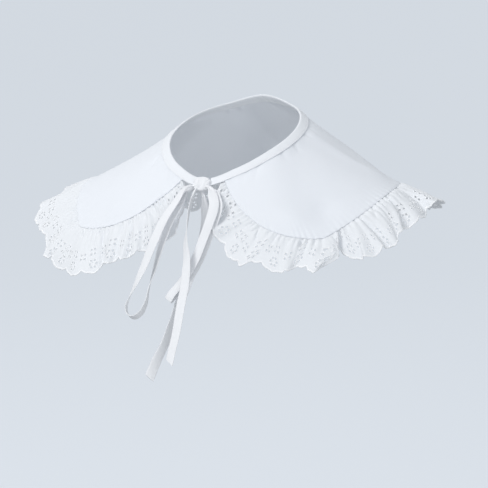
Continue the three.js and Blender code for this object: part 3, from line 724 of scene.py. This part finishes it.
def ruffle_surface(u, offset):
    """Middle points and normals of the ruffle's cloth."""
    middle = ruffle_middle(u, offset)
    outward = ruffle_middle(u, offset + 0.35) - ruffle_middle(u, offset - 0.35)
    around = ruffle_middle(u + 0.35, offset) - ruffle_middle(u - 0.35, offset)
    return middle, unit(np.cross(outward, around))


def scallop_edge(u):
    """The strip's outer edge: scallops with three small lobes each."""
    scallop = SCALLOP_DEPTH * (1 - np.abs(np.sin(np.pi * u / PITCH)))
    lobes = LOBE_DEPTH * (1 - np.abs(np.sin(3 * np.pi * u / PITCH)))
    return RUFFLE_WIDTH - scallop - lobes


def eyelet_centres():
    """The holes of one repeat of the strip."""
    turn = np.arange(6) * math.pi / 3
    ring = [PITCH / 2, RUFFLE_WIDTH - RING_SETBACK] + RING_RADIUS * pairs(np.cos(turn), np.sin(turn))
    corners = [(su * SQUARE_HALF, sv * SQUARE_HALF) for su in (-1, 1) for sv in (-1, 1)]
    behind = [(PITCH / 2 + du, RUFFLE_WIDTH - BEHIND_SETBACK + dv) for du, dv in corners]
    between = [(du % PITCH, RUFFLE_WIDTH - BETWEEN_SETBACK + dv) for du, dv in corners]
    return np.concatenate([ring, behind, between])


def repeat_mesh():
    """One flat repeat of the pierced strip: points and triangles."""
    columns = np.linspace(0, PITCH, EDGE_SEGMENTS + 1)
    top = pairs(columns, scallop_edge(columns))
    bottom = pairs(columns, np.full_like(columns, PLAIN_WIDTH))
    side_rows = np.linspace(PLAIN_WIDTH, scallop_edge(np.zeros(1))[0], 16)[1:-1]
    left = pairs(np.zeros_like(side_rows), side_rows)
    right = left + [PITCH, 0]
    outline = np.concatenate([bottom, right, top[::-1], left[::-1]])
    points = [outline]
    edges = [(k, (k + 1) % len(outline)) for k in range(len(outline))]
    centres = eyelet_centres()
    first = len(outline)
    for centre in centres:
        for radius, shift in ((EYELET_RADIUS, 0), (STITCH_RADIUS, 0.5)):
            angles = turns(EYELET_SIDES) + shift * 2 * np.pi / EYELET_SIDES
            points.append(centre + radius * pairs(np.cos(angles), np.sin(angles)))
            edges += [(first + k, first + (k + 1) % EYELET_SIDES) for k in range(EYELET_SIDES)]
            first += EYELET_SIDES
    row_height = CELL * math.sqrt(3) / 2
    row = np.arange(int((RUFFLE_WIDTH - PLAIN_WIDTH) / row_height) + 1)
    row, column = np.meshgrid(row, np.arange(int(PITCH / CELL) + 1), indexing="ij")
    u, v = (column + 0.5 * (row % 2)) * CELL + 0.4, PLAIN_WIDTH + (row + 0.75) * row_height
    grid = pairs(u, v).reshape(-1, 2)
    inside = (grid[:, 0] > 0.8) & (grid[:, 0] < PITCH - 0.8) & (grid[:, 1] < scallop_edge(grid[:, 0]) - 0.9)
    to_hole = np.linalg.norm(grid[:, None] - centres, axis=-1).min(1)
    points.append(grid[inside & (to_hole > STITCH_RADIUS + 0.75)])
    flat = [Vector(point) for point in np.concatenate(points)]
    verts, _, triangles, *_ = delaunay_2d_cdt(flat, edges, [], 0, 1e-5)
    verts = np.array([tuple(v) for v in verts])
    triangles = np.array([tuple(t) for t in triangles])
    middle = verts[triangles].mean(1)
    kept = np.linalg.norm(middle[:, None] - centres, axis=-1).min(1) > EYELET_RADIUS * 0.95
    kept &= middle[:, 1] < scallop_edge(middle[:, 0])
    plain_rows = np.linspace(-SEAM_ALLOWANCE - SPARE_WIDTH, PLAIN_WIDTH, PLAIN_ROWS + 1)
    u, v = np.meshgrid(columns, plain_rows, indexing="ij")
    plain = pairs(u.ravel(), v.ravel())
    quads = grid_faces(EDGE_SEGMENTS + 1, PLAIN_ROWS + 1) + len(verts)
    halves = np.concatenate([quads[:, [0, 1, 2]], quads[:, [0, 2, 3]]])
    return np.concatenate([verts, plain]), np.concatenate([triangles[kept], halves])


def merged(flat, triangles):
    """Points that coincide become one, and triangles that collapse are dropped."""
    keys = np.round(flat / 1e-3 + 0.123).astype(int)
    _, first, new = np.unique(keys, axis=0, return_index=True, return_inverse=True)
    triangles = new.reshape(-1)[triangles]
    a, b, c = triangles.T
    return flat[first], triangles[(a != b) & (b != c) & (c != a)]


def repeated(flat):
    """Flat points of one repeat, copied along the strip, and their offsets from the seam."""
    shifts = np.arange(SCALLOP_COUNT) * PITCH
    strip = (flat + pairs(shifts, 0 * shifts)[:, None]).reshape(-1, 2)
    return strip, strip[:, 1] - RUFFLE_WIDTH + ruffle_full(strip[:, 0])


def eyelet_ruffle():
    flat, triangles = repeat_mesh()
    strip, offset = repeated(flat)
    firsts = np.arange(SCALLOP_COUNT) * len(flat)
    all_triangles = (triangles + firsts[:, None, None]).reshape(-1, 3)
    kept = (offset[all_triangles] > -SEAM_ALLOWANCE).any(1)
    placed = pairs(strip[:, 0], np.maximum(offset, -SEAM_ALLOWANCE))
    placed, all_triangles = merged(placed, all_triangles[kept])
    used, new = np.unique(all_triangles, return_inverse=True)
    placed, all_triangles = placed[used], new.reshape(-1, 3)
    middle, normal = ruffle_surface(*placed.T)
    half = np.full(len(middle), RUFFLE_WALL / 2)
    points, faces = shell(middle, normal, half, all_triangles[:, ::-1])
    piece = make_object("ruffle_cloth", points, faces, EYELET_COTTON, np.tile(placed, (2, 1)))
    return piece


def on_ruffle(u, v, height):
    """Points at flat places of the strip, raised off the cloth's middle."""
    offset = v - RUFFLE_WIDTH + ruffle_full(u)
    middle, normal = ruffle_surface(u, offset)
    return middle + normal * height[:, None]


RING_SIDES = 12
RING_WEB = 6
THREAD_SETBACK = 0.26
THREAD_WIDTH = 0.42
THREAD_RISE = 0.5


def eyelet_stitching():
    """A satin-stitched ring round every hole."""
    centres, offset = repeated(eyelet_centres())
    inside = (centres[:, 0] > 2) & (centres[:, 0] < STRIP_LENGTH - 2)
    centres = centres[inside & (offset > STITCH_RADIUS)]
    turn = turns(RING_SIDES)
    web = turns(RING_WEB)
    radius = EYELET_RADIUS + THREAD_SETBACK + THREAD_WIDTH * np.cos(web)
    u = centres[:, 0, None, None] + np.cos(turn)[:, None] * radius
    v = centres[:, 1, None, None] + np.sin(turn)[:, None] * radius
    rise = np.broadcast_to(THREAD_RISE * np.sin(web), u.shape)
    points = on_ruffle(u.ravel(), v.ravel(), rise.ravel())
    ring = grid_faces(RING_SIDES, RING_WEB, closed_rows=True, closed_columns=True)
    starts = np.arange(len(centres)) * RING_SIDES * RING_WEB
    faces = (ring + starts[:, None, None]).reshape(-1, 4)
    return make_object("eyelet_stitching", points, faces, THREAD, sharp_angle=180)


BAND_STEP = 0.75
BAND_SIDES = 8
BAND_SETBACK = 0.8
BAND_HALF_WIDTH = 0.95
BAND_RISE = 0.62


def scallop_stitching():
    """The satin-stitched band along the scalloped edge."""
    count = int(STRIP_LENGTH / BAND_STEP)
    u = np.linspace(0.6, STRIP_LENGTH - 0.6, count)
    edge = scallop_edge(u)
    inward = unit(pairs(np.gradient(edge, u), -np.ones_like(u)))
    turn = turns(BAND_SIDES)
    plump = 1 + 0.12 * RNG.uniform(-1, 1, count)
    across = BAND_SETBACK - BAND_HALF_WIDTH * np.cos(turn) * plump[:, None]
    rise = BAND_RISE * np.sin(turn) * plump[:, None]
    flat_u = u[:, None] + inward[:, 0, None] * across
    flat_v = edge[:, None] + inward[:, 1, None] * across
    points = on_ruffle(flat_u.ravel(), flat_v.ravel(), rise.ravel())
    points, faces = tube(points.reshape(count, BAND_SIDES, 3))
    return make_object("scallop_stitching", points, faces, THREAD, sharp_angle=180)


# Binding: a folded strip over the panel's neck edge that runs on to the knot

BINDING_COLUMNS = 520
FOLD_START = 1.2
SEAM_SETBACK = 1.4
KNOT_CENTRE = np.array([0, -NECK_HALF_DEPTH - KNOT_HALF[2], -0.5 * BINDING_WIDTH])
KNOT_ANGLE = math.degrees(math.asin((KNOT_HALF[0] * KNOT_ROUNDNESS - 1) / NECK_HALF_WIDTH))
binding_waves = [Noise(71), Noise(67)]


def binding_outline():
    """Half-open outline of the folded strip: outside over the fold, then back along the inside."""
    inside = PANEL_WALL / 2 + BINDING_GAP
    outside = inside + BINDING_WALL
    reach = np.linspace(BINDING_WIDTH, FOLD_START, 12)
    turn = np.radians(np.linspace(90, 270, 11)[1:-1])
    fold = pairs(FOLD_START + (FOLD_START + BINDING_FOLD) * np.cos(turn), outside * np.sin(turn))
    over = pairs(reach, np.full(12, outside))
    under = pairs(reach[::-1], np.full(12, -outside))
    lining = [1, BINDING_WIDTH / 2, BINDING_WIDTH + 0.2, BINDING_WIDTH + 0.35]
    lip = pairs(lining, [inside, inside, inside, 0.8 * outside])
    return np.concatenate([over, fold, under, lip[::-1] * [1, -1], lip])


def binding_frames(angles):
    origin = drape(angles, 0 * angles)
    down = unit(drape(angles, 0 * angles + BINDING_WIDTH) - origin)
    return origin, down, drape_normal(angles, 0 * angles + BINDING_WIDTH / 2)


def binding_place(angles, x, y):
    """Points at a distance down from the neckline and off the cloth."""
    origin, down, out = binding_frames(angles)
    return origin + down * x[:, None] + out * y[:, None]


def neck_binding():
    angles = np.linspace(KNOT_ANGLE, 360 - KNOT_ANGLE, BINDING_COLUMNS)
    outline = binding_outline()
    rows = len(outline)
    grid_angles = np.repeat(angles, rows)
    x = np.tile(outline[:, 0], BINDING_COLUMNS)
    y = np.tile(outline[:, 1], BINDING_COLUMNS)
    along = grid_angles / 360
    puff = binding_waves[0](along * 70) * np.sign(y) * 0.16 * smooth(1, 5, x)
    dimple = -0.22 * np.sign(y) * np.exp(-((x - BINDING_WIDTH + SEAM_SETBACK) / 0.5) ** 2)
    x = x + 0.22 * binding_waves[1](along * 64) * smooth(4, 9, x)
    points = binding_place(grid_angles, x, y + puff + dimple).reshape(BINDING_COLUMNS, rows, 3)
    points, faces = tube(points)
    run = lengths_along(drape(angles, 0 * angles))
    uv = pairs(np.repeat(run, rows), np.tile(lengths_along(outline), BINDING_COLUMNS))
    piece = make_object("binding_cloth", points, faces, BINDING_COTTON, uv)
    return piece


STITCH_PITCH = 2.5
STITCH_LENGTH = 1.9
STITCH_THICKNESS = 0.34


def stitch_bodies(starts, ends, outs):
    """Small rounded stitches between pairs of points, sunk a little into the cloth."""
    shares = np.array([0, 0.18, 0.82, 1])
    girth = np.array([0.35, 1, 1, 0.35])
    sink = np.array([-0.2, 0.15, 0.15, -0.2]) * STITCH_THICKNESS
    turn = turns(6)
    bodies = []
    for start, end, out in zip(starts, ends, outs):
        along = unit(end - start)
        side = unit(np.cross(along, out))
        centres = start + (end - start) * shares[:, None] + out * sink[:, None]
        spokes = side * np.cos(turn)[:, None] + out * np.sin(turn)[:, None]
        rings = centres[:, None] + spokes[None] * (girth * STITCH_THICKNESS / 2)[:, None, None]
        bodies.append(tube(rings))
    return bodies


def binding_stitching():
    """The row of stitches along the binding's lower edge, on both faces."""
    radius = NECK_HALF_WIDTH * 1.12
    count = int(2 * np.pi * radius / STITCH_PITCH)
    middle = np.linspace(FRONT_ANGLE, 360 - FRONT_ANGLE, count)
    half = math.degrees(STITCH_LENGTH / 2 / radius)
    level = np.full(count, BINDING_WIDTH - SEAM_SETBACK)
    height = PANEL_WALL / 2 + BINDING_GAP + BINDING_WALL - 0.16
    bodies = []
    for side in (1, -1):
        off = np.full(count, side * height)
        ends = [binding_place(middle + turn, level, off) for turn in (-half, half)]
        bodies += stitch_bodies(*ends, side * binding_frames(middle)[2])
    points, faces = joined(bodies)
    return make_object("binding_stitching", points, faces, THREAD, sharp_angle=180)


# Knot and ribbons

# The chest's own axes: to the wearer's left, down and out
LEAN = math.radians(TIE_LEAN)
CHEST_OUT = np.array([0, -math.cos(LEAN), math.sin(LEAN)])
CHEST = np.array([[1, 0, 0], [0, -math.sin(LEAN), -math.cos(LEAN)], CHEST_OUT])


def knot_point(direction, gap):
    """Point of the knot's squarish surface, or a gap off it, in directions from its centre."""
    square = np.sign(direction) * np.abs(direction) ** KNOT_SQUARENESS
    crease = 1 - KNOT_CREASE_SHARE * np.exp(-(direction[..., 0] / KNOT_CREASE_SPREAD) ** 2)
    half = np.array(KNOT_HALF) * np.stack([np.ones_like(crease), np.ones_like(crease), crease], -1)
    return KNOT_CENTRE + ((half + np.reshape(gap, (-1, 1))) * square) @ CHEST


def knot_folds(direction):
    """Pleats of the knot: a band wrapped over the middle, and cloth drawn in from both sides."""
    x, y, z = (direction[..., k] for k in range(3))
    around = np.arctan2(y, z)
    wrap = np.abs(x - 0.1 + 0.3 * y)
    on_band = 1 - smooth(0.42, 0.6, wrap)
    groove = np.exp(-((wrap - 0.54) / 0.08) ** 2)
    band = 0.1 + 0.24 * np.sin(11 * x + 3.4 * y)
    sides = 0.4 * np.sin(9 * around + 3 * x) * smooth(0.45, 0.8, np.abs(x))
    crossing = 0.8 * np.exp(-((x - 0.12 + 0.3 * y) / 0.11) ** 2)
    flatter = crossing + 1.3 * smooth(0.2, 0.9, z)
    return on_band * band + (1 - on_band) * sides - 0.45 * groove - flatter


def tie_knot():
    columns, rows = 96, 64
    turn = np.linspace(0, 2 * np.pi, columns, endpoint=False)
    tilt = np.linspace(0, np.pi, rows + 1)[1:-1]
    turn, tilt = np.meshgrid(turn, tilt, indexing="ij")
    ring = np.stack([np.cos(tilt), np.cos(turn) * np.sin(tilt), np.sin(turn) * np.sin(tilt)], -1)
    direction = np.concatenate([ring.reshape(-1, 3), [[1, 0, 0], [-1, 0, 0]]])
    points = knot_point(direction, knot_folds(direction))
    count = rows - 1
    poles = columns * count, columns * count + 1
    faces = []
    for i in range(columns):
        near, after = i * count, (i + 1) % columns * count
        faces += [[after + j, after + j + 1, near + j + 1, near + j] for j in range(count - 1)]
        faces += [[after, near, poles[0]], [near + count - 1, after + count - 1, poles[1]]]
    uv = 9 * direction[:, [1, 0]]
    return make_object("knot_cloth", points, faces, TIE_COTTON, uv, sharp_angle=180)


def curve_through(points):
    """Centripetal Catmull-Rom curve: its points and the row that each lies after, as a fraction."""
    ends = np.concatenate([[2 * points[0] - points[1]], points, [2 * points[-1] - points[-2]]])
    path, rows = [], []
    t = np.linspace(0, 1, 24, endpoint=False)[:, None]
    for k in range(len(points) - 1):
        x0, x1, x2, x3 = ends[k:k + 4]
        d0, d1, d2 = (np.sqrt(np.linalg.norm(b - a)) for a, b in ((x0, x1), (x1, x2), (x2, x3)))
        start = ((x1 - x0) / d0 - (x2 - x0) / (d0 + d1) + (x2 - x1) / d1) * d1
        stop = ((x2 - x1) / d1 - (x3 - x1) / (d1 + d2) + (x3 - x2) / d2) * d1
        cubic = 2 * x1 - 2 * x2 + start + stop
        square = -3 * x1 + 3 * x2 - 2 * start - stop
        path.append(x1 + start * t + square * t ** 2 + cubic * t ** 3)
        rows.append(k + t[:, 0])
    path.append(points[-1:])
    rows.append([len(points) - 1])
    return np.concatenate(path), np.concatenate(rows)


RIBBON_STEP = 1.3
RIBBON_SIDES = 28
EDGE_ROW_SHARE = 0.74


def ribbon_frames(drop, exits, rows):
    """Evenly spaced centre points, directions and widths of a ribbon that leaves the knot."""
    table, exits = np.array(rows, float), np.array(exits)
    points = KNOT_CENTRE + table[:, [1, 0, 2]] * [drop, drop, RIBBON_WIDTH] @ CHEST
    at_knot = knot_point(unit(exits[:, :3]), EXIT_GAP)
    points = np.concatenate([at_knot[:1], points, at_knot[1:]])
    twists = np.concatenate([exits[:1, 3], table[:, 3], exits[1:, 3]])
    path, at = curve_through(points)
    lengths = lengths_along(path)
    count = int(lengths[-1] / RIBBON_STEP) + 1
    run = np.linspace(0, lengths[-1], count)
    centre = interpolated(run, lengths, path)
    row = np.interp(run, lengths, at)
    turn = np.radians(np.interp(row, np.arange(len(twists)), twists))
    kernel = np.hanning(13) / np.hanning(13).sum()
    turn = np.convolve(np.pad(turn, 6, mode="edge"), kernel, mode="valid")
    along = unit(np.gradient(centre, axis=0))
    across = unit(np.cross(CHEST_OUT, along))
    front = unit(np.cross(along, across))
    flat = across * np.cos(turn)[:, None] + front * np.sin(turn)[:, None]
    face = unit(np.cross(flat, along))
    from_knot = np.minimum(run, run[-1] - run) if len(exits) > 1 else run
    opened = smooth(0, PINCH_LENGTH, from_knot)
    return {"centre": centre, "along": along, "flat": flat, "face": face, "run": run, "open": opened}


def ribbon_point(frames, at, share, height):
    """Point on a ribbon at a frame, a share across it from -1 to 1 and a height off its middle."""
    opened, run = frames["open"][at], frames["run"][at]
    width = (PINCH_SHARE + (1 - PINCH_SHARE) * opened) * RIBBON_WIDTH / 2
    pleat = (1 - opened) * 1.25 * np.cos(1.5 * np.pi * share) * smooth(0, 4, run)
    curl = frames["curl"](run / 19) * 0.35 * share ** 2
    sway = frames["sway"](run / 13) * 0.16
    edge = 0.14 * frames["edge"](run / 7 + 9 * np.sign(share)) * np.abs(share)
    point = frames["centre"][at] + frames["flat"][at] * (width * share + edge)[:, None]
    return point + frames["face"][at] * (height + pleat + curl + sway)[:, None]


def ribbon(name, drop, slant, exits, rows):
    """A flat folded tie of cotton with its edge stitches. Its far end is cut at a slant."""
    frames = ribbon_frames(drop, exits, rows)
    frames.update(curl=Noise(23), sway=Noise(31), edge=Noise(43))
    turn = 2 * np.pi * (np.arange(RIBBON_SIDES) + 0.5) / RIBBON_SIDES
    share = np.sign(np.cos(turn)) * np.abs(np.cos(turn)) ** 0.55
    flank = np.sign(np.sin(turn)) * np.abs(np.sin(turn)) ** 0.4
    height = flank * RIBBON_WALL / 2
    height = height * (1 - 0.35 * np.exp(-((share - EDGE_ROW_SHARE) / 0.07) ** 2))
    count = len(frames["run"])
    at = np.repeat(np.arange(count), RIBBON_SIDES)
    shares = np.tile(share, count)
    points = ribbon_point(frames, at, shares, np.tile(height, count))
    near_end = smooth(frames["run"][-1] - 12, frames["run"][-1], frames["run"][at])
    points = points + frames["along"][at] * (slant * shares * near_end)[:, None]
    points, faces = tube(points.reshape(count, RIBBON_SIDES, 3))
    round_length = np.cumsum(np.abs(np.diff(share * RIBBON_WIDTH / 2, prepend=share[-1])))
    uv = pairs(np.repeat(frames["run"], RIBBON_SIDES), np.tile(round_length, count))
    piece = make_object(name, points, faces, TIE_COTTON, uv, sharp_angle=70)
    return piece, ribbon_stitches(frames, len(exits) == 1)


def ribbon_stitches(frames, free_end):
    """Stitches along one edge of a ribbon, on both faces."""
    run = frames["run"]
    bodies = []
    marks = np.arange(14, run[-1] - (6 if free_end else 16), STITCH_PITCH)
    share = np.full(len(marks), EDGE_ROW_SHARE)
    for side in (1, -1):
        height = np.full(len(marks), side * (RIBBON_WALL / 2 * 0.65 + 0.02))
        ends = []
        for shift in (-0.5, 0.5):
            at = np.interp(marks + shift * STITCH_LENGTH, run, np.arange(len(run)))
            low = np.floor(at).astype(int)
            part = (at - low)[:, None]
            near = ribbon_point(frames, low, share, height)
            after = ribbon_point(frames, np.minimum(low + 1, len(run) - 1), share, height)
            ends.append(near * (1 - part) + after * part)
        bodies += stitch_bodies(*ends, side * frames["face"][low])
    return bodies


# Stage: a pale floor that rises into a round backdrop, and soft lights

FLOOR_LEVEL = -0.5
FLOOR_RADIUS = 3.2
WALL_RADIUS = 5.2
WALL_HEIGHT = 3.4
WORLD_STRENGTH = 0.46

# Square lights aimed at the collar: azimuth from the camera's, elevation, distance, size, power and colour
LIGHTS = (
    ("key_light", -60, 40, 2.4, 1.3, 29, (1, 0.99, 0.98)),
    ("front_light", 22, 16, 2.8, 1.8, 15.5, (0.98, 0.99, 1)),
    ("low_light", 15, -34, 2.8, 2, 11, (0.97, 0.98, 1)),
    ("fill_light", -4, -4, 2.6, 1.6, 2.5, (0.98, 0.99, 1)),
    ("top_light", -160, 62, 2.4, 1.6, 8, (1, 1, 1)),
)


def add_stage():
    turn = np.linspace(0, math.pi / 2, 24)
    rise = WALL_RADIUS - FLOOR_RADIUS
    radius = np.concatenate([[0.0004, 1], FLOOR_RADIUS + rise * np.sin(turn), [WALL_RADIUS]])
    level = np.concatenate([[0, 0], rise * (1 - np.cos(turn)), [WALL_HEIGHT]])
    columns = 97
    around = np.linspace(0, 2 * np.pi, columns)
    points = np.stack([
        np.cos(around)[:, None] * radius,
        np.sin(around)[:, None] * radius,
        FLOOR_LEVEL + np.broadcast_to(level, (columns, len(level))),
    ], -1).reshape(-1, 3)
    material, tree, shader = new_material("studio_paper")
    grain = add_node(tree, "TexNoise", {"Scale": 3}).outputs["Fac"]
    wire(tree, shader, {
        "Base Color": mixed(tree, grain, (0.20, 0.21, 0.225), (0.21, 0.22, 0.235)),
        "Roughness": 0.95,
        "Specular IOR Level": 0.1,
        "Emission Color": (0.73, 0.78, 0.84, 1),
        "Emission Strength": 0.75,
    })
    floor = make_object("studio_floor", points / MM, grid_faces(columns, len(radius)), material)
    floor.visible_diffuse = False


def add_lights():
    for name, azimuth, elevation, distance, size, energy, colour in LIGHTS:
        data = bpy.data.lights.new(name, "AREA")
        data.size = size
        data.energy = energy
        data.color = colour
        add_aimed(name, data, CAMERA_AZIMUTH + azimuth, elevation, distance)
    world = bpy.data.worlds.new("studio")
    world.use_nodes = True
    background = world.node_tree.nodes["Background"]
    wire(world.node_tree, background, {"Color": (0.9, 0.95, 1, 1), "Strength": WORLD_STRENGTH})
    bpy.context.scene.world = world
    bpy.context.scene.view_settings.view_transform = "Standard"


# Assembly

def place(piece, node, slot):
    """The piece rides the collar, and stands for a CAD node if it has one. The slot is not used."""
    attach(piece, "root")
    if node:
        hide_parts(node)


place(collar_panel(), "collar_panel", "panel_cloth")
place(eyelet_ruffle(), "eyelet_ruffle", "eyelet_cloth")
place(eyelet_stitching(), None, "eyelet_cloth")
place(scallop_stitching(), None, "eyelet_cloth")
place(neck_binding(), "neck_binding", "binding_cloth")
place(binding_stitching(), None, "binding_cloth")
place(tie_knot(), "tie_knot", "tie_cloth")

tie_stitches = []
for name, node, *shape in RIBBONS:
    piece, stitches = ribbon(name, *shape)
    place(piece, node, "tie_cloth")
    tie_stitches += stitches
tie_points, tie_faces = joined(tie_stitches)
place(make_object("tie_stitching", tie_points, tie_faces, THREAD, sharp_angle=180), None, "tie_cloth")

add_stage()
add_lights()
